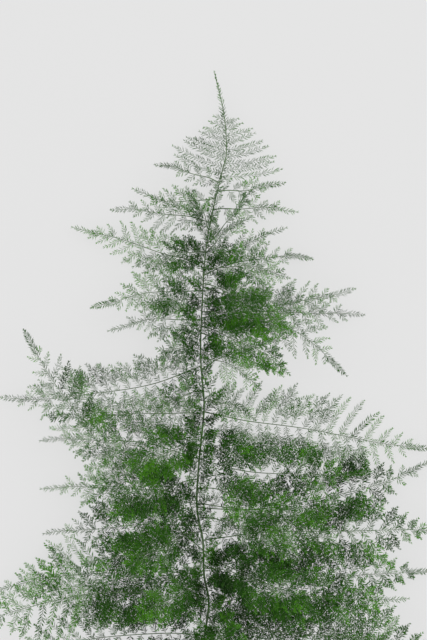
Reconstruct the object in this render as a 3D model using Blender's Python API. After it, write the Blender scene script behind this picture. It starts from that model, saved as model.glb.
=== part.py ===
"""A cut sprig of asparagus fern, lying on a surface with its fronds spread.

+Y runs from the cut end to the tip of the sprig, +X to its right and +Z up from the surface it lies on.
The layout below is in millimetres on a sheet whose zero is on the sprig's middle line; BOX_CENTRE moves it
so that the origin is under the middle of the whole sprig.
"""

import math
import random

import bmesh
import bpy
from mathutils import Matrix, Vector
from mathutils.geometry import intersect_point_line

MM = 0.001
BOX_CENTRE = (-4.5, 184.2)  # middle of the sprig's box, on the layout sheet

# The main stem: its line on the sheet, and how thick it is at the cut end and at the tip.
STEM_LINE = (
    (-2, -115, 1.0),
    (-4, -92, 1.0),
    (-9, -55, 5),
    (-10, -25, 9),
    (-8, 0, 13),
    (-4, 31, 16),
    (-8, 55, 19),
    (-9, 84, 21),
    (-14, 112, 22),
    (-13, 143, 22),
    (-9, 184, 22),
    (-8, 203, 22),
    (-11, 245, 21),
    (-9, 298, 20),
    (-6, 336, 18),
    (0, 368, 17),
    (7, 397, 15),
    (11, 415, 14),
    (9, 447, 12),
    (1, 483.5, 11),
)
STEM_RADIUS = 1.15
LEADER_RADIUS = 0.38
STEM_TAPER = 1.4
STEM_SIDES = 6
STEM_BARE_STEPS = (8.0, 22.0, 36.0, 50.0, 64.0)  # bends of the stem below its first frond
STEM_SHORTEST_STEP = 4.0

# The leader carries twigs directly, longer and longer from its tip downwards.
SPIRE_TOP = 444.0
SPIRE_BOTTOM = 393.0
SPIRE_PITCH = 3.0
SPIRE_SHORTEST = 9.5
SPIRE_GROWTH = 0.86
SPIRE_ANGLE = 80
SPIRE_ANGLE_SPREAD = 4
SPIRE_TILT_SPREAD = 10
SPIRE_VARIES = (0.9, 1.05)
SPIRE_LEVEL = 0.5  # how far that angle is from the sprig's own direction, and not from the leader's
SPIRE_WHORLS = (5.0, 12.0, 19.0, 26.0)  # above the topmost twig

# Short twigs that grow from the stem itself, between its fronds, and lean up and forward.
AXILS_TOP = 392.0
AXILS_BOTTOM = -62.0
AXIL_PITCH = 44.0
AXIL_PITCH_VARIES = (0.9, 1.1)
AXIL_SHORTEST = 10.0
AXIL_LONGEST = 24.0
AXIL_FULL_FROM = 150.0  # below the topmost one
AXIL_ANGLES = (40, 85)
AXIL_RISE = (15, 60)

# The line of the shoot that runs up beside the stem, past the point where it leaves the stem.
SIDE_SHOOT = (
    (-12, 96, 22),
    (-18, 109, 24),
    (-21, 128, 27),
    (-19, 151, 30),
    (-16, 173, 33),
    (-20, 206, 36),
    (-26, 246, 40),
)

# Each frond: where it joins the stem, its tip, how far its middle bows towards the tip of the sprig,
# the height of its middle, its longest twig, the angle that its twigs make with it, and how bare its
# foot is where that isn't BARE_SHARE.
FRONDS = {
    "frond_left_01": dict(joins=389, tip=(-51, 404, 20), bow=2, level=22, twig=14, angle=58),
    "frond_left_02": dict(joins=376, tip=(-70, 385, 10), bow=-7, level=9, twig=18, angle=60),
    "frond_left_03": dict(joins=355, tip=(-88, 365, 27), bow=3, level=31, twig=22, angle=60),
    "frond_left_04": dict(joins=320, tip=(-122, 352, 9), bow=0, level=9, twig=26, angle=60),
    "frond_left_05": dict(joins=297, tip=(-105, 282, 26), bow=4, level=34, twig=24, angle=62),
    "frond_left_06": dict(joins=272, tip=(-91, 262, 9), bow=5, level=10, twig=24, angle=62),
    "frond_left_07": dict(joins=233, tip=(-184, 206, 10), bow=-11, level=0, twig=34, angle=70),
    "frond_left_08": dict(joins=192, tip=(-118, 182, 26), bow=6, level=33, twig=26, angle=66),
    "frond_left_09": dict(joins=154, tip=(-149, 169, 14), bow=8, level=20, twig=32, angle=66),
    "frond_left_10": dict(joins=122, tip=(-149, 127, 8), bow=4, level=8, twig=32, angle=68),
    "frond_left_11": dict(joins=97, tip=(-145, 91, 27), bow=4, level=33, twig=32, angle=68),
    "frond_left_12": dict(joins=76, tip=(-160, 265, 38), bow=-11, level=47, twig=32, angle=66),
    "frond_left_13": dict(joins=55, tip=(-196, 38, 11), bow=9, level=10, twig=42, angle=68),
    "frond_left_14": dict(joins=29, tip=(-214, 6, 22), bow=22, level=31, twig=42, angle=70),
    "frond_left_15": dict(joins=3, tip=(-190, -30, 9), bow=12, level=0, twig=40, angle=70),
    "frond_left_16": dict(joins=-24, tip=(-165, -66, 14), bow=10, level=21, twig=36, angle=68),
    "frond_right_01": dict(joins=382, tip=(62, 389, 18), bow=-2, level=22, twig=16, angle=58),
    "frond_right_02": dict(joins=366, tip=(73, 364, 9), bow=3, level=9, twig=20, angle=60),
    "frond_right_03": dict(joins=337, tip=(27, 381, 34), bow=-4, level=32, twig=11, angle=52),
    "frond_right_04": dict(joins=323, tip=(63, 351, 20), bow=0, level=22, twig=20, angle=58),
    "frond_right_05": dict(joins=310, tip=(86, 324, 8), bow=8, level=8, twig=24, angle=60),
    "frond_right_06": dict(joins=287, tip=(121, 299, 24), bow=-8, level=30, twig=28, angle=62),
    "frond_right_07": dict(joins=300, tip=(113, 224, 34), bow=9, level=46, twig=26, angle=62),
    "frond_right_08": dict(joins=274, tip=(130, 276, 9), bow=4, level=11, twig=28, angle=62),
    "frond_right_09": dict(joins=261, tip=(60, 223, 22), bow=5, level=27, twig=22, angle=62),
    "frond_right_10": dict(joins=230, tip=(62, 257, 28), bow=4, level=36, twig=20, angle=60),
    "frond_right_11": dict(joins=194, tip=(190, 161, 10), bow=-2, level=0, twig=40, angle=76),
    "frond_right_12": dict(joins=154, tip=(135, 144, 24), bow=-8, level=28, twig=32, angle=70),
    "frond_right_13": dict(joins=113, tip=(186, 152, 12), bow=-15, level=11, twig=38, angle=70),
    "frond_right_14": dict(joins=85, tip=(200, 92, 25), bow=6, level=31, twig=40, angle=70),
    "frond_right_15": dict(joins=72, tip=(165, 38, 40), bow=-12, level=47, twig=36, angle=68),
    "frond_right_16": dict(joins=28, tip=(190, 58, 13), bow=6, level=13, twig=38, angle=68),
    "frond_right_17": dict(joins=10, tip=(205, -10, 24), bow=6, level=31, twig=40, angle=70),
    "frond_right_18": dict(joins=-14, tip=(198, -44, 9), bow=16, level=0, twig=40, angle=70),
    "frond_right_19": dict(joins=-38, tip=(140, -85, 14), bow=8, level=18, twig=32, angle=68),
    "tuft_01": dict(joins=348, tip=(-24, 380, 48), bow=3, level=40, twig=18, angle=58),
    "tuft_02": dict(joins=330, tip=(-50, 312, 58), bow=6, level=48, twig=22, angle=60),
    "tuft_03": dict(joins=328, tip=(32, 358, 52), bow=4, level=44, twig=18, angle=58),
    "tuft_04": dict(joins=315, tip=(64, 306, 60), bow=6, level=48, twig=24, angle=60),
    "tuft_05": dict(joins=303, tip=(38, 266, 72), bow=8, level=58, twig=24, angle=60),
    "tuft_06": dict(joins=291, tip=(-56, 274, 56), bow=5, level=46, twig=24, angle=60),
    "tuft_07": dict(joins=279, tip=(70, 258, 62), bow=7, level=54, twig=24, angle=60),
    "tuft_08": dict(joins=250, tip=(-48, 236, 60), bow=6, level=50, twig=24, angle=60, bare=0.15),
    "tuft_09": dict(joins=240, tip=(40, 214, 58), bow=6, level=50, twig=24, angle=60, bare=0.15),
    "tuft_10": dict(joins=212, tip=(-56, 186, 20), bow=6, level=24, twig=24, angle=60),
    "tuft_11": dict(joins=203, tip=(36, 188, 56), bow=6, level=48, twig=24, angle=60, bare=0.2),
    "tuft_12": dict(joins=166, tip=(-74, 140, 72), bow=8, level=60, twig=30, angle=62, bare=0.15),
    "tuft_13": dict(joins=160, tip=(46, 150, 58), bow=6, level=50, twig=26, angle=60, bare=0.3),
    "tuft_14": dict(joins=137, tip=(-90, 100, 64), bow=8, level=56, twig=30, angle=62, bare=0.15),
    "tuft_15": dict(joins=129, tip=(54, 112, 62), bow=6, level=54, twig=28, angle=62, bare=0.35),
    "tuft_16": dict(joins=104, tip=(66, 74, 74), bow=10, level=62, twig=30, angle=62, bare=0.3),
    "tuft_17": dict(joins=92, tip=(-74, 62, 70), bow=8, level=60, twig=30, angle=62, bare=0.2),
    "tuft_18": dict(joins=61, tip=(84, 32, 66), bow=8, level=58, twig=30, angle=62),
    "tuft_19": dict(joins=44, tip=(-66, 22, 72), bow=8, level=60, twig=30, angle=62),
    "tuft_20": dict(joins=20, tip=(34, 6, 70), bow=-8, level=58, twig=28, angle=62),
    "tuft_21": dict(joins=267, tip=(64, 226, 66), bow=5, level=56, twig=26, angle=60),
    "tuft_22": dict(joins=116, tip=(108, 84, 66), bow=8, level=58, twig=32, angle=62, bare=0.3),
    "tuft_23": dict(joins=74, tip=(-112, 66, 58), bow=8, level=52, twig=32, angle=62, bare=0.2),
    "side_shoot": dict(
        joins=88, tip=(-26, 246, 40), route=SIDE_SHOOT, level=36, twig=14, angle=50, bare=0.46
    ),
}
RACHIS_RADIUS = 0.68
RACHIS_TIP_RADIUS = 0.3
RACHIS_TAPER = 0.8
BARE_SHARE = 0.05  # of a frond's length, from the stem to its first twig
SPEAR = 26.0  # the end of a frond, which carries needles and no twigs
TUFT_SPEAR = 12.0
SPEAR_WHORLS = (15.0, 6.0)  # from the frond's tip
WAVE = 1.1  # how far a rachis wanders from its smooth line
WAVE_TURNS = 9.0
WAVE_STARTS = (0, 6.28)
WAVE_FADE = 4  # the wave is full from a quarter of the frond to three quarters
FROND_STEPS = 40
RESTING = (0.45, 0.62)  # the stretch of a frond of level 0 that lies on the surface
RESTING_HALF = 0.03  # half of the straight facet in its middle, as a share of the frond
RESTING_BARE = 0.04

# How the twigs stand on a frond. Those nearest the stem are shorter.
TWIG_PITCH = 3.8
TWIG_PITCH_VARIES = (0.85, 1.15)
TWIG_UNTIL = 0.8  # of the spear's length, from the frond's tip
TWIG_OPENING = 0.7  # how much further apart they are at the frond's end
TWIG_GROWTH = 0.56  # of a twig's length, for each millimetre from the spear
TWIG_SHORTEST = 8.0
TWIG_VARIES = (0.8, 1.08)
INNER_SHARE = 0.75
FULL_FROM = 0.25
ANGLE_LOSS = 10
ANGLE_SPREAD = 7
TILT_SPREAD = 13
TWIG_BEND = math.radians(16)
TWIG_SAG = 0.05
TWIG_STEPS = 6
HEADING_REACH = 1.5  # a line's heading is taken between points this far before and behind

# Twigs and needles that are solid here: two in every twelve twigs, one on each side of the frond,
# and a whorl of six needles at each of a few places.
TWIG_CYCLE = 12
TWIGS_KEPT = (0, 5)
TWIG_RADIUS = 0.4
TWIG_TIP_RADIUS = 0.22
WHORL_SPACING = 15.0
WHORL_LENGTH = 0.55
WHORL_TURN = math.radians(30)
WHORL_STARTS = 0.8  # of the spacing, from a twig's root to its first whorl
WHORL_ENDS = 0.3  # of the spacing, past the place that a further whorl would leave
WHORL_CLEARS = 4.0  # from a frond's last twig to the whorls of its spear
NEEDLE_LENGTH = 4.8
SHORT_NEEDLE = 2.9
NEEDLE_LEAN = math.radians(46)  # from straight out towards the twig's tip
NEEDLE_SPREAD = math.radians(28)
NEEDLE_CHECKS = (0.2, 0.4, 0.6, 0.8, 1.0)

# Clearances, and how a twig is tilted or shortened to keep them.
GAP = 0.3  # between a frond's foot and the stem
GAP_STEP = 0.05
FOOT_LENGTH = 0.5  # of a rachis, before its line's next point
NEAR_ON_STEM = 40.0
STEEP = 0.1  # a line with less of the upright across it than this is taken as upright
ROOM_STEP = 0.9
CHECK_STEP = 1.2
TWIG_TAKES_FROM = 2.0
TWIG_HEADS_AT = 3.0
TWIG_ROOM = 2.2
NEEDLE_ROOM = 1.0
LOWEST_NEEDLE = 0.45
LOWEST_TWIG = 1.3
TWIG_FREE_FROM = 4.0
TWIG_SHARES = (1.0, 0.75, 0.5)
TWIG_TILTS = (0, 14, -14, 28, -28, 45, -45, 65, -65)
UP = Vector((0, 0, 1))
THIRD = 2 * math.pi / 3

GREENS = {
    "stem": (0.10, 0.19, 0.05),
    "frond": (0.07, 0.20, 0.03),
    "tuft": (0.10, 0.27, 0.03),
}


def sheet(x, y, z):
    """A point of the layout sheet, moved so that the origin is under the sprig's middle."""
    return Vector((x - BOX_CENTRE[0], y - BOX_CENTRE[1], z))


def ease(share):
    share = min(max(share, 0.0), 1.0)
    return share * share * (3 - 2 * share)


class Line:
    """A smooth line through space that is read by the distance along it."""

    def __init__(self, points):
        self.points = points
        self.reach = [0.0]
        for a, b in zip(points, points[1:]):
            self.reach.append(self.reach[-1] + (b - a).length)
        self.length = self.reach[-1]

    def at(self, distance):
        distance = min(max(distance, 0.0), self.length)
        k = next(i for i in range(1, len(self.reach)) if self.reach[i] >= distance - 1e-9)
        share = (distance - self.reach[k - 1]) / (self.reach[k] - self.reach[k - 1])
        return self.points[k - 1].lerp(self.points[k], share)

    def heading(self, distance):
        return (self.at(distance + HEADING_REACH) - self.at(distance - HEADING_REACH)).normalized()


def through(knots, steps=8):
    """A Catmull-Rom line through the given points."""
    points = [Vector(k) for k in knots]
    ends = [2 * points[0] - points[1]] + points + [2 * points[-1] - points[-2]]
    line = []
    for p0, p1, p2, p3 in zip(ends, ends[1:], ends[2:], ends[3:]):
        for step in range(steps):
            t = step / steps
            line.append(
                0.5
                * (
                    2 * p1
                    + (p2 - p0) * t
                    + (2 * p0 - 5 * p1 + 4 * p2 - p3) * t**2
                    + (3 * p1 - p0 - 3 * p2 + p3) * t**3
                )
            )
    return Line(line + [points[-1]])


STEM = through([sheet(*knot) for knot in STEM_LINE])


def stem_distance(y):
    """The distance along the stem at which it passes this y of the layout sheet."""
    y -= BOX_CENTRE[1]
    k = next(i for i in range(1, len(STEM.points)) if STEM.points[i].y >= y)
    low, high = STEM.points[k - 1].y, STEM.points[k].y
    return STEM.reach[k - 1] + (y - low) / (high - low) * (STEM.reach[k] - STEM.reach[k - 1])


def stem_radius(distance):
    share = distance / STEM.length
    return STEM_RADIUS + (LEADER_RADIUS - STEM_RADIUS) * share**STEM_TAPER


def stem_steps():
    """Where the stem's rings are: at its bends below the fronds, and where each frond joins it."""
    steps = list(STEM_BARE_STEPS)
    for joins in sorted(stem_distance(frond["joins"]) for frond in FRONDS.values()):
        if joins - steps[-1] > STEM_SHORTEST_STEP:
            steps.append(joins)
    return steps


def clear_of_stem(p, steps):
    """How far a point is from the surface of the stem, as its rings make it."""
    rings = [STEM.at(s) for s in steps]
    nearest = math.inf
    for a, b, distance in zip(rings, rings[1:], steps):
        if abs(a.y - p.y) < NEAR_ON_STEM:
            near, share = intersect_point_line(p, a, b)
            near = a.lerp(b, min(max(share, 0), 1))
            nearest = min(nearest, (p - near).length - stem_radius(distance))
    return nearest


def rachis_radius(share):
    return RACHIS_RADIUS + (RACHIS_TIP_RADIUS - RACHIS_RADIUS) * share**RACHIS_TAPER


def bowed(name, frond, foot, tip):
    """A frond's line from the stem's middle to its tip, bowed in plan, with its level and its fall."""
    draw = random.Random(name)
    across = (tip - foot) * Vector((1, 1, 0))
    side = Vector((-across.y, across.x, 0)).normalized()
    side *= 1 if side.y > 0 else -1
    knee = (foot + tip) / 2 + side * 2 * frond["bow"]
    phase = draw.uniform(*WAVE_STARTS)
    points = []
    for step in range(FROND_STEPS + 1):
        t = step / FROND_STEPS
        p = foot * (1 - t) ** 2 + knee * 2 * t * (1 - t) + tip * t**2
        fade = ease(WAVE_FADE * t) * ease(WAVE_FADE * (1 - t))
        p += side * WAVE * math.sin(phase + WAVE_TURNS * t) * fade
        p.z = foot.z + (frond["level"] - foot.z) * ease(t / RESTING[0])
        if frond["level"] == 0:
            p.z += rachis_radius(t) / 2
        p.z += (tip.z - frond["level"]) * ease((t - RESTING[1]) / (1 - RESTING[1]))
        points.append(p)
    return Line(points)


def frond_line(name, frond):
    """The rachis of a frond, from just clear of the stem to the frond's tip."""
    foot = STEM.at(stem_distance(frond["joins"]))
    if "route" in frond:
        whole = through([foot] + [sheet(*knot) for knot in frond["route"]])
    else:
        whole = bowed(name, frond, foot, sheet(*frond["tip"]))
    steps = stem_steps()
    off = 0.0
    corners = [foot]
    while min(clear_of_stem(c, steps) for c in corners) < GAP:
        off += GAP_STEP
        corners = ring(whole, off, rachis_radius(0), (0, THIRD, 2 * THIRD))
    return Line([whole.at(off)] + [p for p, r in zip(whole.points, whole.reach) if r > off + FOOT_LENGTH])


def twig_places(name, frond, line):
    """Where a frond's twigs leave it: for each, its distance along, side, length and the line it takes."""
    draw = random.Random(name + " twigs")
    place = line.length * frond.get("bare", BARE_SHARE)
    spear = TUFT_SPEAR if name.startswith("tuft") else SPEAR
    side = 1
    twigs = []
    while place < line.length - spear * TWIG_UNTIL:
        to_tip = line.length - place
        length = TWIG_SHORTEST + TWIG_GROWTH * max(to_tip - spear, 0)
        length = min(length, frond["twig"]) * draw.uniform(*TWIG_VARIES)
        length *= INNER_SHARE + (1 - INNER_SHARE) * ease(place / (FULL_FROM * line.length))
        lean = draw.uniform(-ANGLE_SPREAD, ANGLE_SPREAD)
        angle = math.radians(frond["angle"] - ANGLE_LOSS * place / line.length + lean)
        tilt = math.radians(draw.gauss(0, TILT_SPREAD))
        twigs.append(dict(place=place, side=side, length=length, angle=angle, tilt=tilt))
        side = -side
        opening = 1 + TWIG_OPENING * place / line.length
        place += TWIG_PITCH * opening * draw.uniform(*TWIG_PITCH_VARIES)
    return twigs


def twig_line(line, twig, more_tilt=0.0, share=1.0):
    """The line of one twig: it leaves at its angle, then bends a little towards the frond's tip and down."""
    root = line.at(twig["place"])
    way = line.heading(twig["place"])
    out = UP.cross(way).normalized() * twig["side"]
    out.rotate(Matrix.Rotation(twig["tilt"] + more_tilt, 3, way))
    length = twig["length"] * share
    points = []
    p = root.copy()
    for step in range(TWIG_STEPS + 1):
        points.append(p.copy())
        angle = twig["angle"] - TWIG_BEND * step / TWIG_STEPS
        heading = way * math.cos(angle) + out * math.sin(angle)
        heading.z -= TWIG_SAG * step / TWIG_STEPS
        p += heading.normalized() * length / TWIG_STEPS
        p.z = max(p.z, LOWEST_TWIG)
    return Line(points)


class Room:
    """Remembers the space that is taken, so that what is added later can be bent clear of it."""

    CELL = 2.5

    def __init__(self):
        self.cells = {}

    def key(self, p):
        return tuple(math.floor(c / self.CELL) for c in p)

    def take(self, p, owner):
        self.cells.setdefault(self.key(p), []).append((p, owner))

    def take_line(self, line, owner):
        steps = max(2, int(line.length / ROOM_STEP))
        for step in range(steps + 1):
            self.take(line.at(line.length * step / steps), owner)

    def free(self, p, distance, mine):
        i, j, k = self.key(p)
        for a in (i - 1, i, i + 1):
            for b in (j - 1, j, j + 1):
                for c in (k - 1, k, k + 1):
                    for q, owner in self.cells.get((a, b, c), ()):
                        if owner not in mine and (p - q).length < distance:
                            return False
        return True


def ring(line, distance, radius, angles):
    """Corners round the line, at these angles from straight up."""
    centre = line.at(distance)
    way = line.heading(distance)
    over = UP - way * UP.dot(way)
    if over.length < STEEP:
        over = Vector((1, 0, 0)) - way * way.x
    over.normalize()
    aside = way.cross(over)
    corners = [centre + (over * math.cos(a) + aside * math.sin(a)) * radius for a in angles]
    for corner in corners:
        corner.z = max(corner.z, 0)
    return corners


def angles_of(face, line, distance):
    """The angles round the line at which a new ring's corners follow this face's corners."""
    centre = face.calc_center_median()
    over, aside = [c - line.at(distance) for c in ring(line, distance, 1.0, (0, math.pi / 2))]
    first = face.verts[0].co - centre
    start = math.atan2(first.dot(aside), first.dot(over))
    turn = 2 * math.pi / len(face.verts)
    return [start + k * turn for k in range(len(face.verts))]


def extruded(bm, cap, corners):
    """Carries an end face forward to these corners, and returns the new end face."""
    cap = bmesh.ops.extrude_discrete_faces(bm, faces=[cap])["faces"][0]
    for vert, corner in zip(cap.verts, corners):
        vert.co = corner
    return cap


def sides_of(cap):
    return [f for e in cap.edges for f in e.link_faces if f is not cap]


def foot(bm, corners):
    """The closed foot of a new shoot: a flat face, doubled by an extrusion that the next ring draws out."""
    face = bm.faces.new([bm.verts.new(c) for c in corners])
    made = bmesh.ops.extrude_face_region(bm, geom=[face])["geom"]
    return next(g for g in made if isinstance(g, bmesh.types.BMFace))


def add_whorl(bm, cap, line, distance, room, owner):
    """Draws a needle out of each half of the faces behind this end face."""
    axis = line.at(distance)
    way = line.heading(distance)
    quads = sides_of(cap)
    middles = [q.calc_center_median() - axis for q in quads]
    halves = bmesh.ops.triangulate(bm, faces=quads)["faces"]
    for half in halves:
        root = half.calc_center_median()
        out = root - axis
        out -= way * out.dot(way)
        middle = min(middles, key=lambda m: (m - (root - axis)).length)
        middle = middle - way * middle.dot(way)
        hand = 1 if way.dot(middle.cross(out)) > 0 else -1
        out = middle.normalized()
        out.rotate(Matrix.Rotation(hand * NEEDLE_SPREAD, 3, way))
        aim = out * math.cos(NEEDLE_LEAN) + way * math.sin(NEEDLE_LEAN)
        for length in (NEEDLE_LENGTH, SHORT_NEEDLE):
            tip = root + aim * length
            along = [root.lerp(tip, share) for share in NEEDLE_CHECKS]
            if tip.z > LOWEST_NEEDLE and all(room.free(p, NEEDLE_ROOM, (owner,)) for p in along):
                bmesh.ops.poke(bm, faces=[half])["verts"][0].co = tip
                for p in along:
                    room.take(p, owner)
                break


def add_twig(bm, root, line, room, owner):
    """A leafy twig that grows out of one face of its rachis."""
    room.take_line(Line([line.at(s) for s in (TWIG_TAKES_FROM, line.length / 2, line.length)]), owner)
    count = max(1, round(line.length / WHORL_SPACING))
    whorls = [line.length * (k + WHORL_STARTS) / (count + WHORL_ENDS) for k in range(count)]
    angles = angles_of(root, line, 1.0)
    cap = root
    for place in whorls:
        share = place / line.length
        radius = TWIG_RADIUS + (TWIG_TIP_RADIUS - TWIG_RADIUS) * share
        cap = extruded(bm, cap, ring(line, place - WHORL_LENGTH / 2, radius, angles))
        cap = extruded(bm, cap, ring(line, place + WHORL_LENGTH / 2, radius, angles))
        add_whorl(bm, cap, line, place, room, owner)
        angles = [a + WHORL_TURN for a in angles]
    bmesh.ops.poke(bm, faces=[cap])["verts"][0].co = line.at(line.length)


def clear_twig(line, twig, room, mine):
    """The twig's line, tilted or shortened until it is clear of what is there. None if nothing is clear."""
    for share in TWIG_SHARES:
        for tilt in TWIG_TILTS:
            found = twig_line(line, twig, math.radians(tilt), share)
            steps = int(found.length / CHECK_STEP)
            free_length = found.length - TWIG_FREE_FROM
            along = [found.at(TWIG_FREE_FROM + free_length * k / steps) for k in range(steps + 1)]
            if all(room.free(p, TWIG_ROOM, mine) for p in along):
                return found
    return None


def grow(name, line, radius_at, sides, twigs, whorls, room, steps):
    """One shoot as a closed mesh: its rachis, with twigs and needles drawn out of the rachis itself."""
    bm = bmesh.new()
    turn = 2 * math.pi / sides
    angles = [turn * k + (turn / 2 if sides % 2 == 0 else 0) for k in range(sides)]
    cap = foot(bm, ring(line, 0, radius_at(0), angles))
    events = [(t["place"], t) for t in twigs] + [(w, None) for w in whorls] + [(s, "step") for s in steps]
    for place, event in sorted(events, key=lambda e: e[0]):
        if event == "step":
            cap = extruded(bm, cap, ring(line, place, radius_at(place), angles))
            continue
        half = WHORL_LENGTH / 2
        cap = extruded(bm, cap, ring(line, place - half, radius_at(place), angles))
        cap = extruded(bm, cap, ring(line, place + half, radius_at(place), angles))
        if event is None:
            add_whorl(bm, cap, line, place, room, name)
            continue
        found = clear_twig(line, event, room, (name,))
        if found is None:
            continue
        way = found.heading(TWIG_HEADS_AT)
        side = max(sides_of(cap), key=lambda f: (f.calc_center_median() - line.at(place)).dot(way))
        halves = bmesh.ops.triangulate(bm, faces=[side])["faces"]
        root = max(halves, key=lambda f: f.calc_center_median().dot(line.heading(place)))
        add_twig(bm, root, found, room, f"{name} {place:.1f}")
    bmesh.ops.poke(bm, faces=[cap])["verts"][0].co = line.at(line.length)
    bmesh.ops.scale(bm, vec=(MM, MM, MM), verts=bm.verts)
    bmesh.ops.recalc_face_normals(bm, faces=bm.faces)
    mesh = bpy.data.meshes.new(name)
    bm.to_mesh(mesh)
    bm.free()
    obj = bpy.data.objects.new(name, mesh)
    bpy.context.scene.collection.objects.link(obj)
    return obj


def green(name, colour):
    material = bpy.data.materials.new(name)
    material.use_nodes = True
    shader = material.node_tree.nodes["Principled BSDF"]
    shader.inputs["Base Color"].default_value = (*colour, 1)
    shader.inputs["Roughness"].default_value = 0.55
    shader.inputs["Metallic"].default_value = 0.0
    material.diffuse_color = (*colour, 1)
    return material


def axil_twigs():
    draw = random.Random("axils")
    low, high = stem_distance(AXILS_BOTTOM), stem_distance(AXILS_TOP)
    place, side = high, 1
    twigs = []
    while place > low:
        length = AXIL_SHORTEST + (AXIL_LONGEST - AXIL_SHORTEST) * ease((high - place) / AXIL_FULL_FROM)
        angle = math.radians(draw.uniform(*AXIL_ANGLES))
        tilt = side * math.radians(draw.uniform(*AXIL_RISE))
        twigs.append(dict(place=place, side=side, length=length, angle=angle, tilt=tilt))
        place, side = place - AXIL_PITCH * draw.uniform(*AXIL_PITCH_VARIES), -side
    return twigs


def build_stem(room):
    """The main stem with its leader, and the twigs that the leader carries."""
    draw = random.Random("spire")
    low, high = stem_distance(SPIRE_BOTTOM), stem_distance(SPIRE_TOP)
    twigs = []
    place, side = high, 1
    while place > low:
        down = high - place
        length = (SPIRE_SHORTEST + SPIRE_GROWTH * down) * draw.uniform(*SPIRE_VARIES)
        lean = STEM.heading(place)
        angle = math.radians(SPIRE_ANGLE + draw.uniform(-SPIRE_ANGLE_SPREAD, SPIRE_ANGLE_SPREAD))
        angle += side * SPIRE_LEVEL * math.atan2(lean.x, lean.y)
        tilt = math.radians(draw.gauss(0, SPIRE_TILT_SPREAD))
        twigs.append(dict(place=place, side=side, length=length, angle=angle, tilt=tilt))
        place, side = place - SPIRE_PITCH, -side
    twigs += axil_twigs()
    whorls = [high + above for above in SPIRE_WHORLS]
    steps = [s for s in stem_steps() if s < low - 1 and all(abs(s - t["place"]) > 1 for t in twigs)]
    return grow("main_stem", STEM, stem_radius, STEM_SIDES, twigs, whorls, room, steps)


def build_frond(name, frond, line, room):
    """A side frond: some of its twigs, and the needles of its leafy end."""
    twigs = [t for k, t in enumerate(twig_places(name, frond, line)) if k % TWIG_CYCLE in TWIGS_KEPT]
    last = twigs[-1]["place"]
    whorls = [line.length - w for w in SPEAR_WHORLS if line.length - w > last + WHORL_CLEARS]
    steps = []
    if frond["level"] == 0:
        middle = sum(RESTING) / 2
        twigs = [t for t in twigs if abs(t["place"] / line.length - middle) > RESTING_BARE]
        steps = [line.length * (middle + side * RESTING_HALF) for side in (-1, 1)]

    def radius_at(place):
        return rachis_radius(place / line.length)

    return grow(name, line, radius_at, 3, twigs, whorls, room, steps)


def main():
    for old in list(bpy.data.objects):
        bpy.data.objects.remove(old)
    room = Room()
    room.take_line(STEM, "main_stem")
    lines = {name: frond_line(name, frond) for name, frond in FRONDS.items()}
    for name, line in lines.items():
        room.take_line(line, name)
    greens = {name: green(name + "_green", colour) for name, colour in GREENS.items()}
    build_stem(room).data.materials.append(greens["stem"])
    for name, frond in FRONDS.items():
        obj = build_frond(name, frond, lines[name], room)
        obj.data.materials.append(greens["tuft" if name.startswith("tuft") else "frond"])


main()
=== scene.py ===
import math
import random

import bmesh
import bpy
import numpy as np
from mathutils import Matrix, Vector


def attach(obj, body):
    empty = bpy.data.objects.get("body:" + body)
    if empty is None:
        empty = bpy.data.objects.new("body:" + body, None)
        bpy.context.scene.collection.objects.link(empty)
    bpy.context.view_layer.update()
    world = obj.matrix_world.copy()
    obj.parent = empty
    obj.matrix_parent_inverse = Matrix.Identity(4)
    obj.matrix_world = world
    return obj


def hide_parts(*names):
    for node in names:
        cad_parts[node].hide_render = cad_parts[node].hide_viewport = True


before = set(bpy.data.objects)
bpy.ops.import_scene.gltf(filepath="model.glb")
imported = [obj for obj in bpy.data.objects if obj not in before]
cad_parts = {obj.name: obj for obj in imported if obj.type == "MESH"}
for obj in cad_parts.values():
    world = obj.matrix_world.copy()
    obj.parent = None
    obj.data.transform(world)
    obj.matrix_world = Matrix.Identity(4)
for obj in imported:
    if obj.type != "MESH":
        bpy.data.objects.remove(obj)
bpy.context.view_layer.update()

# Asparagus fern sprig: a slim stem whose fronds carry twigs, all round with needles.
# The layout sheet is in millimetres, with the same values as the part's own.

mm = 0.001
sheetCentre = (-4.5, 184.2)
up = Vector((0, 0, 1))

stem = {
    "line": [
        (-2, -115, 1.0), (-4, -92, 1.0), (-9, -55, 5), (-10, -25, 9), (-8, 0, 13),
        (-4, 31, 16), (-8, 55, 19), (-9, 84, 21), (-14, 112, 22), (-13, 143, 22),
        (-9, 184, 22), (-8, 203, 22), (-11, 245, 21), (-9, 298, 20), (-6, 336, 18),
        (0, 368, 17), (7, 397, 15), (11, 415, 14), (9, 447, 12), (1, 483.5, 11),
    ],
    "radius": 1.05,
    "leaderRadius": 0.3,
    "taper": 1.4,
    "sides": 10,
    "rings": 260,
}

spire = {
    "top": 444.0,
    "bottom": 393.0,
    "pitch": 3.0,
    "shortest": 9.5,
    "growth": 0.86,
    "angle": 80,
    "level": 0.5,  # how far that angle is from the sprig's own direction, and not from the leader's
    "lengthVaries": (0.9, 1.05),
    "angleSpread": 4,
    "tiltSpread": 10,
    "needlesFrom": 296.0,
    "needlesPitch": 14,
    "needlesLength": 18,
}

# Short twigs that grow from the stem itself, between its fronds, and lean up and forward.
axils = {
    "bottom": -62.0,
    "top": 392.0,
    "pitch": 2.8,
    "pitchVaries": (0.8, 1.2),
    "shortest": 10.0,
    "longest": 25.0,
    "longestFrom": 150,  # below the topmost one
    "lengthVaries": (0.6, 1.0),
    "angles": (40, 85),
    "rise": (5, 60),
    "fullFrom": 0.3,
}

sideShoot = [
    (-12, 96, 22), (-18, 109, 24), (-21, 128, 27), (-19, 151, 30), (-16, 173, 33),
    (-20, 206, 36), (-26, 246, 40),
]

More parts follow.
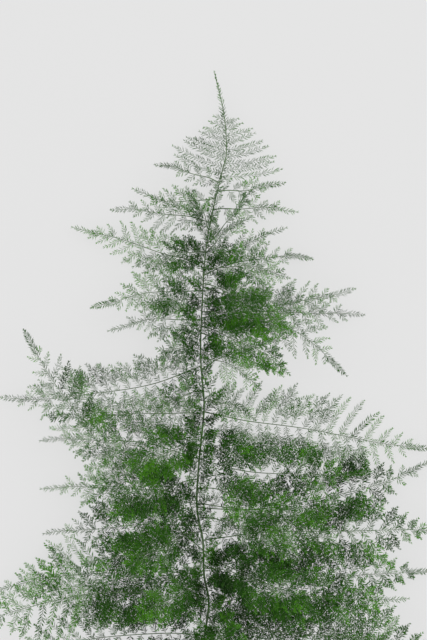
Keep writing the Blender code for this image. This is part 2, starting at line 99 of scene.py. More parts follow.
fronds = {
    "frond_left_01": dict(joins=389, tip=(-51, 404, 20), bow=2, level=22, twig=14, angle=58),
    "frond_left_02": dict(joins=376, tip=(-70, 385, 10), bow=-7, level=9, twig=18, angle=60),
    "frond_left_03": dict(joins=355, tip=(-88, 365, 27), bow=3, level=31, twig=22, angle=60),
    "frond_left_04": dict(joins=320, tip=(-122, 352, 9), bow=0, level=9, twig=26, angle=60),
    "frond_left_05": dict(joins=297, tip=(-105, 282, 26), bow=4, level=34, twig=24, angle=62),
    "frond_left_06": dict(joins=272, tip=(-91, 262, 9), bow=5, level=10, twig=24, angle=62),
    "frond_left_07": dict(joins=233, tip=(-184, 206, 10), bow=-11, level=0, twig=34, angle=70),
    "frond_left_08": dict(joins=192, tip=(-118, 182, 26), bow=6, level=33, twig=26, angle=66),
    "frond_left_09": dict(joins=154, tip=(-149, 169, 14), bow=8, level=20, twig=32, angle=66),
    "frond_left_10": dict(joins=122, tip=(-149, 127, 8), bow=4, level=8, twig=32, angle=68),
    "frond_left_11": dict(joins=97, tip=(-145, 91, 27), bow=4, level=33, twig=32, angle=68),
    "frond_left_12": dict(joins=76, tip=(-160, 265, 38), bow=-11, level=47, twig=32, angle=66),
    "frond_left_13": dict(joins=55, tip=(-196, 38, 11), bow=9, level=10, twig=42, angle=68),
    "frond_left_14": dict(joins=29, tip=(-214, 6, 22), bow=22, level=31, twig=42, angle=70),
    "frond_left_15": dict(joins=3, tip=(-190, -30, 9), bow=12, level=0, twig=40, angle=70),
    "frond_left_16": dict(joins=-24, tip=(-165, -66, 14), bow=10, level=21, twig=36, angle=68),
    "frond_right_01": dict(joins=382, tip=(62, 389, 18), bow=-2, level=22, twig=16, angle=58),
    "frond_right_02": dict(joins=366, tip=(73, 364, 9), bow=3, level=9, twig=20, angle=60),
    "frond_right_03": dict(joins=337, tip=(27, 381, 34), bow=-4, level=32, twig=11, angle=52),
    "frond_right_04": dict(joins=323, tip=(63, 351, 20), bow=0, level=22, twig=20, angle=58),
    "frond_right_05": dict(joins=310, tip=(86, 324, 8), bow=8, level=8, twig=24, angle=60),
    "frond_right_06": dict(joins=287, tip=(121, 299, 24), bow=-8, level=30, twig=28, angle=62),
    "frond_right_07": dict(joins=300, tip=(113, 224, 34), bow=9, level=46, twig=26, angle=62),
    "frond_right_08": dict(joins=274, tip=(130, 276, 9), bow=4, level=11, twig=28, angle=62),
    "frond_right_09": dict(joins=261, tip=(60, 223, 22), bow=5, level=27, twig=22, angle=62),
    "frond_right_10": dict(joins=230, tip=(62, 257, 28), bow=4, level=36, twig=20, angle=60),
    "frond_right_11": dict(joins=194, tip=(190, 161, 10), bow=-2, level=0, twig=40, angle=76),
    "frond_right_12": dict(joins=154, tip=(135, 144, 24), bow=-8, level=28, twig=32, angle=70),
    "frond_right_13": dict(joins=113, tip=(186, 152, 12), bow=-15, level=11, twig=38, angle=70),
    "frond_right_14": dict(joins=85, tip=(200, 92, 25), bow=6, level=31, twig=40, angle=70),
    "frond_right_15": dict(joins=72, tip=(165, 38, 40), bow=-12, level=47, twig=36, angle=68),
    "frond_right_16": dict(joins=28, tip=(190, 58, 13), bow=6, level=13, twig=38, angle=68),
    "frond_right_17": dict(joins=10, tip=(205, -10, 24), bow=6, level=31, twig=40, angle=70),
    "frond_right_18": dict(joins=-14, tip=(198, -44, 9), bow=16, level=0, twig=40, angle=70),
    "frond_right_19": dict(joins=-38, tip=(140, -85, 14), bow=8, level=18, twig=32, angle=68),
    "tuft_01": dict(joins=348, tip=(-24, 380, 48), bow=3, level=40, twig=18, angle=58),
    "tuft_02": dict(joins=330, tip=(-50, 312, 58), bow=6, level=48, twig=22, angle=60),
    "tuft_03": dict(joins=328, tip=(32, 358, 52), bow=4, level=44, twig=18, angle=58),
    "tuft_04": dict(joins=315, tip=(64, 306, 60), bow=6, level=48, twig=24, angle=60),
    "tuft_05": dict(joins=303, tip=(38, 266, 72), bow=8, level=58, twig=24, angle=60),
    "tuft_06": dict(joins=291, tip=(-56, 274, 56), bow=5, level=46, twig=24, angle=60),
    "tuft_07": dict(joins=279, tip=(70, 258, 62), bow=7, level=54, twig=24, angle=60),
    "tuft_08": dict(joins=250, tip=(-48, 236, 60), bow=6, level=50, twig=24, angle=60, bare=0.15),
    "tuft_09": dict(joins=240, tip=(40, 214, 58), bow=6, level=50, twig=24, angle=60, bare=0.15),
    "tuft_10": dict(joins=212, tip=(-56, 186, 20), bow=6, level=24, twig=24, angle=60),
    "tuft_11": dict(joins=203, tip=(36, 188, 56), bow=6, level=48, twig=24, angle=60, bare=0.2),
    "tuft_12": dict(joins=166, tip=(-74, 140, 72), bow=8, level=60, twig=30, angle=62, bare=0.15),
    "tuft_13": dict(joins=160, tip=(46, 150, 58), bow=6, level=50, twig=26, angle=60, bare=0.3),
    "tuft_14": dict(joins=137, tip=(-90, 100, 64), bow=8, level=56, twig=30, angle=62, bare=0.15),
    "tuft_15": dict(joins=129, tip=(54, 112, 62), bow=6, level=54, twig=28, angle=62, bare=0.35),
    "tuft_16": dict(joins=104, tip=(66, 74, 74), bow=10, level=62, twig=30, angle=62, bare=0.3),
    "tuft_17": dict(joins=92, tip=(-74, 62, 70), bow=8, level=60, twig=30, angle=62, bare=0.2),
    "tuft_18": dict(joins=61, tip=(84, 32, 66), bow=8, level=58, twig=30, angle=62),
    "tuft_19": dict(joins=44, tip=(-66, 22, 72), bow=8, level=60, twig=30, angle=62),
    "tuft_20": dict(joins=20, tip=(34, 6, 70), bow=-8, level=58, twig=28, angle=62),
    "tuft_21": dict(joins=267, tip=(64, 226, 66), bow=5, level=56, twig=26, angle=60),
    "tuft_22": dict(joins=116, tip=(108, 84, 66), bow=8, level=58, twig=32, angle=62, bare=0.3),
    "tuft_23": dict(joins=74, tip=(-112, 66, 58), bow=8, level=52, twig=32, angle=62, bare=0.2),
    "side_shoot": dict(joins=88, tip=(-26, 246, 40), route=sideShoot, level=36, twig=14, angle=50, bare=0.46),
}

rachis = {
    "radius": 0.52,
    "tipRadius": 0.17,
    "taper": 0.8,
    "sides": 5,
    "rings": 45,
    "bareShare": 0.05,
    "spear": 26.0,
    "tuftSpear": 12.0,
    "wave": 1.1,  # how far it wanders from its smooth line
    "waveTurns": 9,
    "waveStarts": (0, 6.28),
    "waveFade": 4,  # the wave is full from a quarter of the frond to three quarters
    "steps": 40,
    "resting": (0.45, 0.62),  # the stretch of a frond of level 0 that lies on the surface
    "restingLift": 0.35,
    "brushFrom": 0.45,  # its needles of its own start at this share of it
    "brushPitch": 27,
    "footReach": 2.4,
}

twigShape = {
    "pitch": 3.8,
    "tuftPitch": 2.6,
    "pitchVaries": (0.85, 1.15),
    "opening": 0.7,  # how much further apart the twigs are at the frond's end
    "until": 0.8,  # of the spear's length, from the frond's tip
    "growth": 0.56,  # of a twig's length, for each millimetre from the spear
    "shortest": 8.0,
    "lengthVaries": (0.8, 1.08),
    "innerShare": 0.75,
    "fullLengthFrom": 0.25,
    "angleLoss": 10,
    "angleSpread": 7,
    "tiltSpread": 13,
    "bend": 16,
    "fall": 0.05,
    "steps": 6,
    "radius": 0.2,
    "tipRadius": 0.1,
    "lowest": 1.3,
    "subFrom": 15.0,  # twigs longer than this carry smaller ones
    "subPlaces": (0.22, 0.8),  # between these shares of the twig
    "subPitch": 2.4,
    "subPitchVaries": (0.8, 1.2),
    "subOpening": 1.1,
    "subLength": 0.5,
    "subLongest": 14,
    "subLengthVaries": (0.8, 1.15),
    "subAngles": (38, 54),
    "subTiltSpread": 22,
    "subTone": 0.08,
    "subUntil": (0.4, 0.95),  # share of a frond past which twigs carry none, high and low on the sprig
}

needle = {
    "length": 5.2,
    "widths": {"fine": 0.42, "full": 0.66},
    "thick": 0.16,
    "widest": 0.55,  # share of its length
    "lengthVaries": (0.78, 1.08),
    "lean": 47.0,
    "leanSpread": 12,
    "tipLean": 22,  # how much less it leans at the very tip
    "tipShare": 0.65,  # how much shorter it is there
    "perWhorl": 5,
    "whorlPitch": 2.4,
    "whorlPitchVaries": (0.85, 1.15),
    "whorlShift": 0.6,
    "spread": 40.0,  # how far a needle turns out of the frond's plane
    "taperOver": {"twig": 10.0, "spear": 30.0},  # end along which the needles grow shorter
    "taperShare": 0.8,  # at most this share of a short brush
    "lowest": 0.15,
    "roll": 0.2,
}

# How green a twig is, from 0 to 1: its frond's own tone, with painted shade that makes it darker towards the
# frond's foot and where the sprig is crowded, and lighter outwards and where the sprig is open.
tones = {
    "own": (0.35, 0.65),
    "outwardPaintedShade": 0.5,
    "openPaintedShade": 0.12,
    "spread": 0.1,
    "kinds": {"full": -0.06, "fine": 0.1},
    "stem": 0.5,
    "stalk": 0.3,
    "leader": 0.45,
    "spireSpread": 0.1,
    "axils": (0.2, 0.6),
}

# A side frond is as full as a tuft from 60 mm below this height on the sheet.
fullness = {"none": 185, "over": 60, "start": 1.3}

# Where the sprig is fuller or more open than elsewhere: a place on the sheet, its reach, and how much.
thickets = [
    (54, 233, 18, 1.7), (-60, 300, 24, 0.5), (62, 300, 18, 0.5), (118, 148, 32, 1.0), (60, 174, 22, 0.8),
    (82, 172, 18, 0.9), (176, 104, 28, 1.0), (178, 34, 38, 1.8), (96, 50, 30, 0.5), (-6, 50, 18, 0.9),
    (-86, 97, 16, 1.3), (-115, 208, 22, 0.9), (2, 165, 22, 0.5), (-60, 165, 22, 0.5), (-60, 36, 18, 0.5),
    (110, 100, 22, 0.4), (-88, 44, 18, 0.6), (-34, 312, 20, 0.3), (-8, 350, 22, -0.4), (5, 374, 24, -0.5),
    (22, 342, 20, -0.6), (-34, 350, 16, -0.3), (48, 312, 16, -0.5), (-8, 298, 26, -0.8), (-10, 234, 24, -0.8),
    (22, 210, 24, -0.9), (-34, 208, 22, -0.5), (76, 206, 20, -0.4), (-6, 124, 20, -0.8), (22, 98, 20, -0.6),
    (-32, 68, 26, -0.7), (-32, 38, 16, -0.4), (-100, 70, 24, -0.9), (-128, 10, 26, -0.7), (118, 58, 20, -0.7),
    (60, 120, 22, -0.4), (-86, 122, 14, -0.4), (130, 120, 16, -0.4), (-115, 234, 14, -0.4),
]

crowdLimits = (0.2, 2.2)
crowdKeeps = 1.7  # where the crowding is below 1 in this, some of a frond's twigs are left out

brushLengths = [5, 8, 11, 14, 18, 22, 27, 32, 38, 45]
brushVariants = 2
brushRing = 5
headingReach = 1.5  # a line's heading is taken between points this far before and behind


def sheet(x, y, z):
    return Vector((x - sheetCentre[0], y - sheetCentre[1], z))


def ease(share):
    share = min(max(share, 0.0), 1.0)
    return share * share * (3 - 2 * share)


# Lines: an array of points and the distance along at each.

def lineThrough(points):
    points = np.array([tuple(p) for p in points], float)
    steps = np.linalg.norm(np.diff(points, axis=0), axis=1)
    return points, np.concatenate(([0.0], np.cumsum(steps)))


def smoothLine(knots, steps=8):
    points = [Vector(k) for k in knots]
    ends = [2 * points[0] - points[1]] + points + [2 * points[-1] - points[-2]]
    line = []
    for p0, p1, p2, p3 in zip(ends, ends[1:], ends[2:], ends[3:]):
        for step in range(steps):
            t = step / steps
            bend = 2 * p0 - 5 * p1 + 4 * p2 - p3
            swing = 3 * p1 - p0 - 3 * p2 + p3
            line.append(0.5 * (2 * p1 + (p2 - p0) * t + bend * t**2 + swing * t**3))
    return lineThrough(line + [points[-1]])


def along(line, distance):
    points, reach = line
    at = np.stack([np.interp(distance, reach, points[:, k]) for k in range(3)], axis=-1)
    over = np.maximum(np.asarray(distance) - reach[-1], 0.0)
    last = points[-1] - points[-2]
    return at + np.multiply.outer(over, last / np.linalg.norm(last))


def heading(line, distance):
    before = along(line, np.maximum(np.asarray(distance) - headingReach, 0))
    ahead = along(line, np.asarray(distance) + headingReach) - before
    return ahead / np.linalg.norm(ahead, axis=-1, keepdims=True)


def bentAlong(shape, line, turn=0.0, thickness=None):
    # A shape made along +Z is laid along the line, turned about it.
    way = heading(line, shape[:, 2])
    over = np.array(up) - way * way[:, 2:3]
    over /= np.linalg.norm(over, axis=1, keepdims=True) + 1e-9
    aside = np.cross(way, over)
    thick = 1.0 if thickness is None else thickness[:, None]
    x = (shape[:, 0] * math.cos(turn) - shape[:, 1] * math.sin(turn))[:, None] * thick
    y = (shape[:, 0] * math.sin(turn) + shape[:, 1] * math.cos(turn))[:, None] * thick
    bent = along(line, shape[:, 2]) + over * x + aside * y
    bent[:, 2] = np.maximum(bent[:, 2], needle["lowest"])
    return bent


stemLine = smoothLine([sheet(*knot) for knot in stem["line"]])


def stemDistance(y):
    points, reach = stemLine
    return float(np.interp(y - sheetCentre[1], points[:, 1], reach))


def stemRadius(distance):
    share = np.asarray(distance) / stemLine[1][-1]
    return stem["radius"] + (stem["leaderRadius"] - stem["radius"]) * share ** stem["taper"]


def frondLine(name, frond):
    draw = random.Random(name)
    foot = Vector(along(stemLine, stemDistance(frond["joins"])))
    if "route" in frond:
        return smoothLine([foot] + [sheet(*knot) for knot in frond["route"]])
    tip = sheet(*frond["tip"])
    across = (tip - foot) * Vector((1, 1, 0))
    side = Vector((-across.y, across.x, 0)).normalized()
    side *= 1 if side.y > 0 else -1
    knee = (foot + tip) / 2 + side * 2 * frond["bow"]
    phase = draw.uniform(*rachis["waveStarts"])
    start, end = rachis["resting"]
    points = []
    for step in range(rachis["steps"] + 1):
        t = step / rachis["steps"]
        p = foot * (1 - t) ** 2 + knee * 2 * t * (1 - t) + tip * t**2
        fade = ease(rachis["waveFade"] * t) * ease(rachis["waveFade"] * (1 - t))
        p += side * rachis["wave"] * math.sin(phase + rachis["waveTurns"] * t) * fade
        p.z = foot.z + (frond["level"] - foot.z) * ease(t / start)
        if frond["level"] == 0:
            p.z += rachis["restingLift"]
        p.z += (tip.z - frond["level"]) * ease((t - end) / (1 - end))
        points.append(p)
    return lineThrough(points)


def twigPlaces(name, frond, length):
    draw = random.Random(name + " twigs")
    length -= rachis["footReach"]
    place = length * frond.get("bare", rachis["bareShare"])
    spear = rachis["tuftSpear" if name.startswith("tuft") else "spear"]
    pitch = twigShape["tuftPitch" if name.startswith("tuft") else "pitch"]
    side = 1
    twigs = []
    while place < length - spear * twigShape["until"]:
        reach = twigShape["shortest"] + twigShape["growth"] * max(length - place - spear, 0)
        reach = min(reach, frond["twig"]) * draw.uniform(*twigShape["lengthVaries"])
        inner = twigShape["innerShare"]
        reach *= inner + (1 - inner) * ease(place / (twigShape["fullLengthFrom"] * length))
        share = place / length
        lean = draw.uniform(-twigShape["angleSpread"], twigShape["angleSpread"])
        twigs.append({
            "place": place + rachis["footReach"],
            "side": side,
            "length": reach,
            "angle": math.radians(frond["angle"] - twigShape["angleLoss"] * share + lean),
            "tilt": math.radians(draw.gauss(0, twigShape["tiltSpread"])),
            "share": share,
        })
        side = -side
        place += pitch * (1 + twigShape["opening"] * share) * draw.uniform(*twigShape["pitchVaries"])
    return twigs


def twigLine(line, twig):
    root = Vector(along(line, twig["place"]))
    way = Vector(heading(line, twig["place"]))
    out = up.cross(way).normalized() * twig["side"]
    out.rotate(Matrix.Rotation(twig["tilt"], 3, way))
    points = []
    p = root.copy()
    steps = twigShape["steps"]
    for step in range(steps + 1):
        points.append(p.copy())
        angle = twig["angle"] - math.radians(twigShape["bend"]) * step / steps
        ahead = way * math.cos(angle) + out * math.sin(angle)
        ahead.z -= twigShape["fall"] * step / steps
        p += ahead.normalized() * twig["length"] / steps
        p.z = max(p.z, twigShape["lowest"])
    return lineThrough(points)


def crowding(place):
    x, y = place[0] + sheetCentre[0], place[1] + sheetCentre[1]
    total = 1.0
    for middleX, middleY, reach, more in thickets:
        total += more * math.exp(-((x - middleX) ** 2 + (y - middleY) ** 2) / reach**2)
    least, most = crowdLimits
    return min(max(total, least), most)


# Shapes that repeat: a needle, a bottle brush of needles on a slim stalk, and a plain stalk.

def meshOf(bm, name):
    mesh = bpy.data.meshes.new(name)
    bm.to_mesh(mesh)
    bm.free()
    return mesh


def coordsOf(mesh):
    coords = np.empty(len(mesh.vertices) * 3)
    mesh.vertices.foreach_get("co", coords)
    return coords.reshape(-1, 3)


def makeNeedle(width):
    # A slim blade, pointed at both ends: one corner of a three-sided cone's base becomes its root.
    bm = bmesh.new()
    bmesh.ops.create_cone(bm, cap_ends=True, segments=3, radius1=1, radius2=0, depth=1)
    bmesh.ops.remove_doubles(bm, verts=bm.verts, dist=1e-4)
    root, left, right, tip = sorted(bm.verts, key=lambda vert: vert.co.z)
    root.co = (0, 0, 0)
    tip.co = (0, 0, 1)
    left.co = (-width / 2, needle["thick"], needle["widest"])
    right.co = (width / 2, needle["thick"], needle["widest"])
    bm.verts.layers.float.new("tipward")
    for vert in bm.verts:
        vert.co.z *= needle["length"]
    bmesh.ops.recalc_face_normals(bm, faces=bm.faces)
    return meshOf(bm, "needle")


def makeStalk(sides, rings):
    bm = bmesh.new()
    bmesh.ops.create_circle(bm, cap_ends=True, segments=sides, radius=1.0)
    bm.faces.ensure_lookup_table()
    cap = bm.faces[0]
    for ring in range(rings):
        cap = bmesh.ops.extrude_discrete_faces(bm, faces=[cap])["faces"][0]
        bmesh.ops.translate(bm, verts=cap.verts, vec=(0, 0, 1.0 / rings))
    bm.verts.layers.float.new("tipward")
    bmesh.ops.recalc_face_normals(bm, faces=bm.faces)
    for face in bm.faces:
        face.material_index = 1
    mesh = meshOf(bm, "stalk")
    return mesh, coordsOf(mesh)


def makeBrush(length, width, taperOver, draw):
    # A leafy twig along +Z: a slim stalk with whorls of needles that lean towards its tip.
    bm = bmesh.new()
    rings = max(2, int(length / brushRing))
    bmesh.ops.create_circle(bm, cap_ends=True, segments=3, radius=1.0)
    bm.faces.ensure_lookup_table()
    cap = bm.faces[0]
    for ring in range(rings):
        cap = bmesh.ops.extrude_discrete_faces(bm, faces=[cap])["faces"][0]
        bmesh.ops.translate(bm, verts=cap.verts, vec=(0, 0, length / rings))
    for vert in bm.verts:
        radius = twigShape["radius"] + (twigShape["tipRadius"] - twigShape["radius"]) * vert.co.z / length
        vert.co.x *= radius
        vert.co.y *= radius
    tipward = bm.verts.layers.float.new("tipward")
    bmesh.ops.recalc_face_normals(bm, faces=bm.faces)
    for face in bm.faces:
        face.material_index = 1
    template = makeNeedle(width)
    place = needle["whorlPitch"] * 0.5
    while place < length:
        side = draw.choice((-1, 1))
        for k in range(needle["perWhorl"]):
            count = len(bm.verts)
            bm.from_mesh(template)
            bm.verts.ensure_lookup_table()
            fresh = bm.verts[count:]
            last = max((place - length + taperOver) / taperOver, 0)
            size = draw.uniform(*needle["lengthVaries"]) * (1.0 - needle["tipShare"] * last)
            for vert in fresh:
                vert[tipward] = last
            lean = draw.uniform(-needle["leanSpread"], needle["leanSpread"])
            lean = math.radians(needle["lean"] + lean - needle["tipLean"] * last)
            side = -side
            turn = side * math.pi / 2 + math.radians(draw.gauss(0, needle["spread"]))
            shift = Vector((0, 0, place + draw.uniform(-needle["whorlShift"], needle["whorlShift"])))
            matrix = Matrix.Translation(shift) @ Matrix.Rotation(turn, 4, "Z") @ Matrix.Rotation(lean, 4, "Y")
            bmesh.ops.transform(bm, matrix=matrix @ Matrix.Diagonal((1, 1, size, 1)), verts=fresh)
        place += needle["whorlPitch"] * draw.uniform(*needle["whorlPitchVaries"])
    bpy.data.meshes.remove(template)
    return meshOf(bm, "brush")


def makeBrushes():
    draw = random.Random("brushes")
    brushes = {}
    widths, tapers = needle["widths"], needle["taperOver"]
    kinds = [(kind, width, tapers["twig"]) for kind, width in widths.items()]
    for kind, width, taper in kinds + [("spear", widths["fine"], tapers["spear"])]:
        brushes[kind] = {}
        for length in brushLengths:
            taperOver = min(taper, needle["taperShare"] * length)
            made = [makeBrush(length, width, taperOver, draw) for variant in range(brushVariants)]
            brushes[kind][length] = [(mesh, coordsOf(mesh)) for mesh in made]
    return brushes


class Foliage:
    # Gathers the bent shapes of one piece into one mesh.

    def __init__(self):
        self.bm = bmesh.new()
        self.bm.verts.layers.float.new("tipward")
        self.bm.verts.layers.float.new("tone")

    def add(self, mesh, coords, tone):
        copy = mesh.copy()
        copy.vertices.foreach_set("co", (coords * mm).ravel())
        layer = copy.attributes.new("tone", "FLOAT", "POINT")
        layer.data.foreach_set("value", np.full(len(coords), tone))
        self.bm.from_mesh(copy)
        bpy.data.meshes.remove(copy)

    def addStalk(self, line, start, end, radiusStart, radiusEnd, tone, stalk):
        mesh, shape = stalk
        shape = shape.copy()
        share = shape[:, 2].copy()
        shape[:, 2] = start + (end - start) * share
        thickness = radiusStart + (radiusEnd - radiusStart) * share ** rachis["taper"]
        self.add(mesh, bentAlong(shape, line, 0.0, thickness), tone)

    def addBrush(self, line, draw, brushes, tone, start=0.0, end=None):
        length = (end or line[1][-1]) - start
        nearest = min(brushLengths, key=lambda size: abs(size - length))
        mesh, shape = draw.choice(brushes[nearest])
        shape = shape.copy()
        shape[:, 2] = start + shape[:, 2] * length / nearest
        turn = draw.choice((0, math.pi)) + draw.gauss(0, needle["roll"])
        self.add(mesh, bentAlong(shape, line, turn), tone)

    def finish(self, name, materials, nodes):
        mesh = meshOf(self.bm, name)
        piece = bpy.data.objects.new(name, mesh)
        bpy.context.scene.collection.objects.link(piece)
        for material in materials:
            mesh.materials.append(material)
        stalks = np.empty(len(mesh.polygons), dtype=np.int32)
        mesh.polygons.foreach_get("material_index", stalks)
        mesh.polygons.foreach_set("use_smooth", stalks == 1)
        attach(piece, "root")
        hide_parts(*nodes)
        return piece


def addTwig(foliage, line, twig, draw, brushes, tone, until):
    path = twigLine(line, twig)
    foliage.addBrush(path, draw, brushes, tone)
    crowd = crowding(along(path, twig["length"] / 2))
    until *= crowd
    if twig["length"] * max(crowd, 1) < twigShape["subFrom"] or twig["share"] > until:
        return
    first, last = [share * twig["length"] for share in twigShape["subPlaces"]]
    place = first
    side = draw.choice((-1, 1))
    while place < last:
        longest = min(twigShape["subLength"] * (twig["length"] - place), twigShape["subLongest"])
        small = {
            "place": place,
            "side": side,
            "length": longest * draw.uniform(*twigShape["subLengthVaries"]),
            "angle": math.radians(draw.uniform(*twigShape["subAngles"])),
            "tilt": math.radians(draw.gauss(0, twigShape["subTiltSpread"])),
        }
        ownTone = tone + draw.uniform(-twigShape["subTone"], twigShape["subTone"])
        foliage.addBrush(twigLine(path, small), draw, brushes, ownTone)
        side = -side
        pitch = twigShape["subPitch"] * (1 + twigShape["subOpening"] * twig["share"] / until)
        place += pitch / crowd * draw.uniform(*twigShape["subPitchVaries"])


def makeFrond(name, frond, brushes, stalk, materials):
    draw = random.Random(name + " fine")
    line = frondLine(name, frond)
    length = line[1][-1]
    foliage = Foliage()
    foliage.addStalk(line, 0.0, length, rachis["radius"], rachis["tipRadius"], tones["stalk"], stalk)
    own = draw.uniform(*tones["own"])
    least, most = twigShape["subUntil"]
    height = (frond["joins"] + frond["tip"][1]) / 2
    full = 1.0 if name.startswith("tuft") else ease((fullness["none"] - height) / fullness["over"])
    until = least + (most - least) * full
    for twig in twigPlaces(name, frond, length):
        crowd = crowding(along(line, twig["place"]))
        # Painted shade: the twig's green is darker towards the frond's foot and where the sprig is crowded,
        # and lighter towards its tip and where the sprig is open.
        tone = own + tones["outwardPaintedShade"] * (twig["share"] - 0.5)
        tone += tones["openPaintedShade"] * (1 - crowd) + draw.gauss(0, tones["spread"])
        if draw.random() > crowdKeeps * crowd:
            continue
        kind = "full" if draw.random() < full * (fullness["start"] - twig["share"]) * crowd else "fine"
        tone += tones["kinds"][kind]
        addTwig(foliage, line, twig, draw, brushes[kind], min(max(tone, 0), 1), until)
    start = length * rachis["brushFrom"]
    while start < length - rachis["spear"]:
        end = min(start + rachis["brushPitch"], length)
        foliage.addBrush(line, draw, brushes["fine"], own, start, end)
        start += rachis["brushPitch"]
    foliage.addBrush(line, draw, brushes["fine"], own, length - rachis["spear"], length)
    return foliage.finish(name + "_leafy", materials, [name])


def leanAt(place):
    way = heading(stemLine, place)
    return math.atan2(way[0], way[1])


def addAxils(foliage, brushes):
    draw = random.Random("axils")
    low, high = stemDistance(axils["bottom"]), stemDistance(axils["top"])
    place, side = high, 1
    while place > low:
        down = ease((high - place) / axils["longestFrom"])
        length = axils["shortest"] + (axils["longest"] - axils["shortest"]) * down
        twig = {
            "place": place,
            "side": side,
            "length": length * draw.uniform(*axils["lengthVaries"]),
            "angle": math.radians(draw.uniform(*axils["angles"])),
            "tilt": side * math.radians(draw.uniform(*axils["rise"])),
            "share": 0,
        }
        kind = "full" if down > axils["fullFrom"] else "fine"
        addTwig(foliage, stemLine, twig, draw, brushes[kind], draw.uniform(*tones["axils"]), 1.0)
        place, side = place - axils["pitch"] * draw.uniform(*axils["pitchVaries"]), -side


def makeStem(brushes, stalk, materials):
    draw = random.Random("spire")
    foliage = Foliage()
    mesh, shape = stalk
    shape = shape.copy()
    share = shape[:, 2].copy()
    shape[:, 2] = share * stemLine[1][-1]
    foliage.add(mesh, bentAlong(shape, stemLine, 0.0, stemRadius(shape[:, 2])), tones["stem"])
    low, high = stemDistance(spire["bottom"]), stemDistance(spire["top"])
    place, side = high, 1
    while place > low:
        length = spire["shortest"] + spire["growth"] * (high - place)
        length *= draw.uniform(*spire["lengthVaries"])
        angle = spire["angle"] + draw.uniform(-spire["angleSpread"], spire["angleSpread"])
        twig = {
            "place": place,
            "side": side,
            "length": length,
            "angle": math.radians(angle) + side * spire["level"] * leanAt(place),
            "tilt": math.radians(draw.gauss(0, spire["tiltSpread"])),
        }
        tone = tones["stem"] + draw.uniform(-tones["spireSpread"], tones["spireSpread"])
        foliage.addBrush(twigLine(stemLine, twig), draw, brushes["fine"], tone)
        place, side = place - spire["pitch"], -side
    addAxils(foliage, brushes)
    foliage.addBrush(stemLine, draw, brushes["spear"], tones["stem"], start=high)
    for start in np.arange(stemDistance(spire["needlesFrom"]), high, spire["needlesPitch"]):
        end = start + spire["needlesLength"]
        foliage.addBrush(stemLine, draw, brushes["fine"], tones["leader"], start, end)
    return foliage.finish("stem_leafy", materials, ["main_stem"])


# Materials

needleGreen = {
    "roughness": 0.6,
    "specular": 0.15,
    "patchScale": 60,
    "patchDetail": 3,
    "patchWeight": 0.9,
    "middle": 0.45,  # half of the patches' weight, taken off so that they shift the tone both ways
    "paler": 0.2,  # how much lighter the very end of a brush is
    "ramp": [
        (0.15, (0.008, 0.034, 0.003, 1)),
        (0.5, (0.023, 0.105, 0.004, 1)),
        (0.85, (0.08, 0.27, 0.012, 1)),
    ],
}

stalkGreen = {
    "roughness": 0.45,
    "streakScale": 220,
    "streakDetail": 4,
    "ramp": [(0.35, (0.04, 0.085, 0.022, 1)), (0.65, (0.08, 0.17, 0.04, 1))],
}


def newMaterial(name, roughness):
    material = bpy.data.materials.new(name)
    material.use_nodes = True
    shader = material.node_tree.nodes["Principled BSDF"]
    shader.inputs["Roughness"].default_value = roughness
    return material, material.node_tree.nodes, material.node_tree.links, shader


def addNoise(nodes, links, scale, detail):
    coords = nodes.new("ShaderNodeTexCoord")
    noise = nodes.new("ShaderNodeTexNoise")
    noise.inputs["Scale"].default_value = scale
    noise.inputs["Detail"].default_value = detail
    links.new(coords.outputs["Object"], noise.inputs["Vector"])
    return noise.outputs["Fac"]


def addRamp(nodes, links, value, stops):
    ramp = nodes.new("ShaderNodeValToRGB")
    first, last = ramp.color_ramp.elements
    first.position, first.color = stops[0]
    last.position, last.color = stops[-1]
    for position, colour in stops[1:-1]:
        ramp.color_ramp.elements.new(position).color = colour
    links.new(value, ramp.inputs["Fac"])
    return ramp.outputs["Color"]


def addScaled(nodes, links, value, factor, added):
    step = nodes.new("ShaderNodeMath")
    step.operation = "MULTIPLY_ADD"
    step.inputs[1].default_value = factor
    links.new(value, step.inputs[0])
    links.new(added, step.inputs[2])
    return step.outputs[0]


def makeNeedleGreen():
    material, nodes, links, shader = newMaterial("needle_green", needleGreen["roughness"])
    shader.inputs["Specular IOR Level"].default_value = needleGreen["specular"]
    tone = nodes.new("ShaderNodeAttribute")
    tone.attribute_name = "tone"
    ends = nodes.new("ShaderNodeAttribute")
    ends.attribute_name = "tipward"
    paler = addScaled(nodes, links, ends.outputs["Fac"], needleGreen["paler"], tone.outputs["Fac"])
    shifted = nodes.new("ShaderNodeMath")
    shifted.operation = "SUBTRACT"
    shifted.inputs[1].default_value = needleGreen["middle"]
    links.new(paler, shifted.inputs[0])
    patches = addNoise(nodes, links, needleGreen["patchScale"], needleGreen["patchDetail"])
    mixed = addScaled(nodes, links, patches, needleGreen["patchWeight"], shifted.outputs[0])
    links.new(addRamp(nodes, links, mixed, needleGreen["ramp"]), shader.inputs["Base Color"])
    return material


def makeStalkGreen():
    material, nodes, links, shader = newMaterial("stalk_green", stalkGreen["roughness"])
    streaks = addNoise(nodes, links, stalkGreen["streakScale"], stalkGreen["streakDetail"])
    links.new(addRamp(nodes, links, streaks, stalkGreen["ramp"]), shader.inputs["Base Color"])
    return material


# The floor, the light and the camera

stage = {
    "floorSize": 6.0,
    "floorTone": 0.15,
    "floorGlow": 0.6,
    "floorRoughness": 0.9,
    "worldTone": 0.95,
    "worldStrength": 0.85,
    "lamps": {
        "key": dict(place=(1.2, 0.9, 2.2), size=2.0, power=20),
        "fill": dict(place=(-1.4, -0.4, 2.0), size=2.0, power=8),
    },
    "cameraHeight": 1.6,
    "sprigHeight": 0.02,
    "frameHeight": 0.544,
    "frameMiddle": 272,
    "sensor": 36,
}


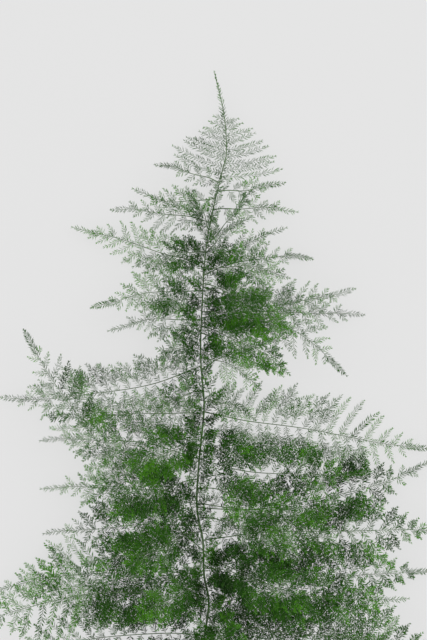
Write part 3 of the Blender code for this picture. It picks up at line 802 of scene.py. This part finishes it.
def makeStage():
    bm = bmesh.new()
    bmesh.ops.create_grid(bm, x_segments=1, y_segments=1, size=stage["floorSize"])
    floor = bpy.data.objects.new("floor", meshOf(bm, "floor"))
    bpy.context.scene.collection.objects.link(floor)
    material, nodes, links, shader = newMaterial("pale_floor", stage["floorRoughness"])
    shader.inputs["Emission Color"].default_value = (1, 1, 1, 1)
    shader.inputs["Emission Strength"].default_value = stage["floorGlow"]
    tone = stage["floorTone"]
    shader.inputs["Base Color"].default_value = (tone, tone, tone, 1)
    floor.data.materials.append(material)


def makeLight():
    world = bpy.data.worlds.new("studio")
    bpy.context.scene.world = world
    world.use_nodes = True
    background = world.node_tree.nodes["Background"]
    tone = stage["worldTone"]
    background.inputs["Color"].default_value = (tone, tone, tone, 1)
    background.inputs["Strength"].default_value = stage["worldStrength"]
    for name, lamp in stage["lamps"].items():
        light = bpy.data.lights.new(name, "AREA")
        light.size = lamp["size"]
        light.energy = lamp["power"]
        holder = bpy.data.objects.new(name, light)
        holder.location = lamp["place"]
        holder.rotation_euler = (-Vector(lamp["place"])).to_track_quat("-Z", "Y").to_euler()
        bpy.context.scene.collection.objects.link(holder)


def makeCamera():
    camera = bpy.data.cameras.new("camera")
    camera.sensor_width = stage["sensor"]
    camera.lens = camera.sensor_width * stage["cameraHeight"] / stage["frameHeight"]
    eye = bpy.data.objects.new("camera", camera)
    middle = sheet(0, stage["frameMiddle"], 0) * mm
    eye.location = (middle.x, middle.y, stage["cameraHeight"] + stage["sprigHeight"])
    bpy.context.scene.collection.objects.link(eye)
    bpy.context.scene.camera = eye


def main():
    bpy.context.scene.view_settings.view_transform = "Standard"
    makeStage()
    makeLight()
    makeCamera()
    print("stage ready")
    brushes = makeBrushes()
    frondStalk = makeStalk(rachis["sides"], rachis["rings"])
    stemStalk = makeStalk(stem["sides"], stem["rings"])
    print("brushes ready")
    greens = (makeNeedleGreen(), makeStalkGreen())
    pieces = [makeStem(brushes, stemStalk, greens)]
    for name, frond in fronds.items():
        pieces.append(makeFrond(name, frond, brushes, frondStalk, greens))
    triangles = [len(piece.data.loops) - 2 * len(piece.data.polygons) for piece in pieces]
    print("fronds ready, triangles", sum(triangles), "most in one", max(triangles))


main()
